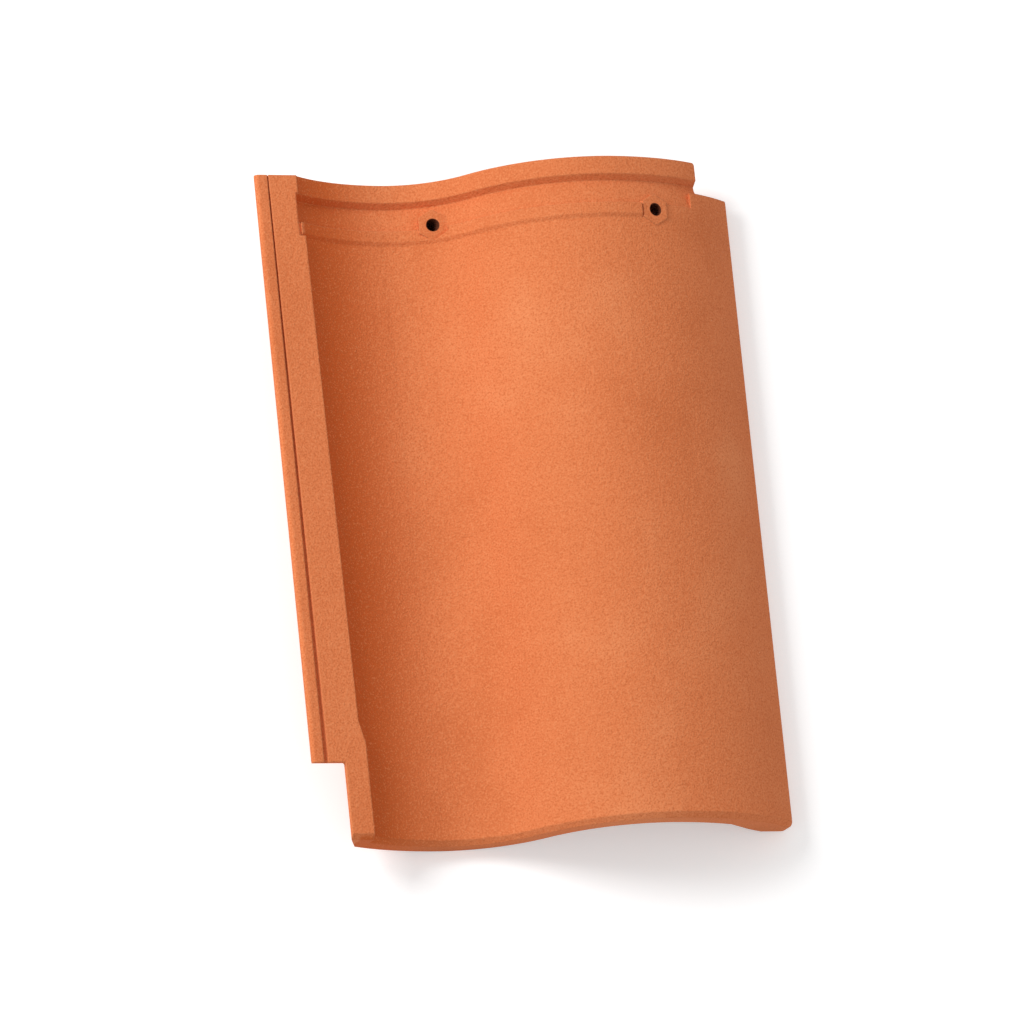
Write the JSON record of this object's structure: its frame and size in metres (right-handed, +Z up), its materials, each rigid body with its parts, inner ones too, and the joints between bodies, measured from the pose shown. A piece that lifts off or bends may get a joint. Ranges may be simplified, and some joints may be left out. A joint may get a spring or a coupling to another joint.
{
  "type": "interlocking s-profile clay roof tile",
  "caption": "S-shaped clay roof tile with a side-lock flange, a concave pan, a convex cover, a raised head lip and two bossed nail holes.",
  "frame": {"origin": "middle of the tile's footprint, at floor level, with the tile lying unheld on its pan and its cover edge", "axes": "+X from the side-lock flange to the cover edge, +Y from the nose to the head, +Z up from the floor"},
  "size_m": [0.2444, 0.3364, 0.052],
  "materials": {
    "clay": "matte unglazed, fine sandy grain"
  },
  "bodies": {
    "root": {"roof_tile": "clay"}
  },
  "joints": []
}
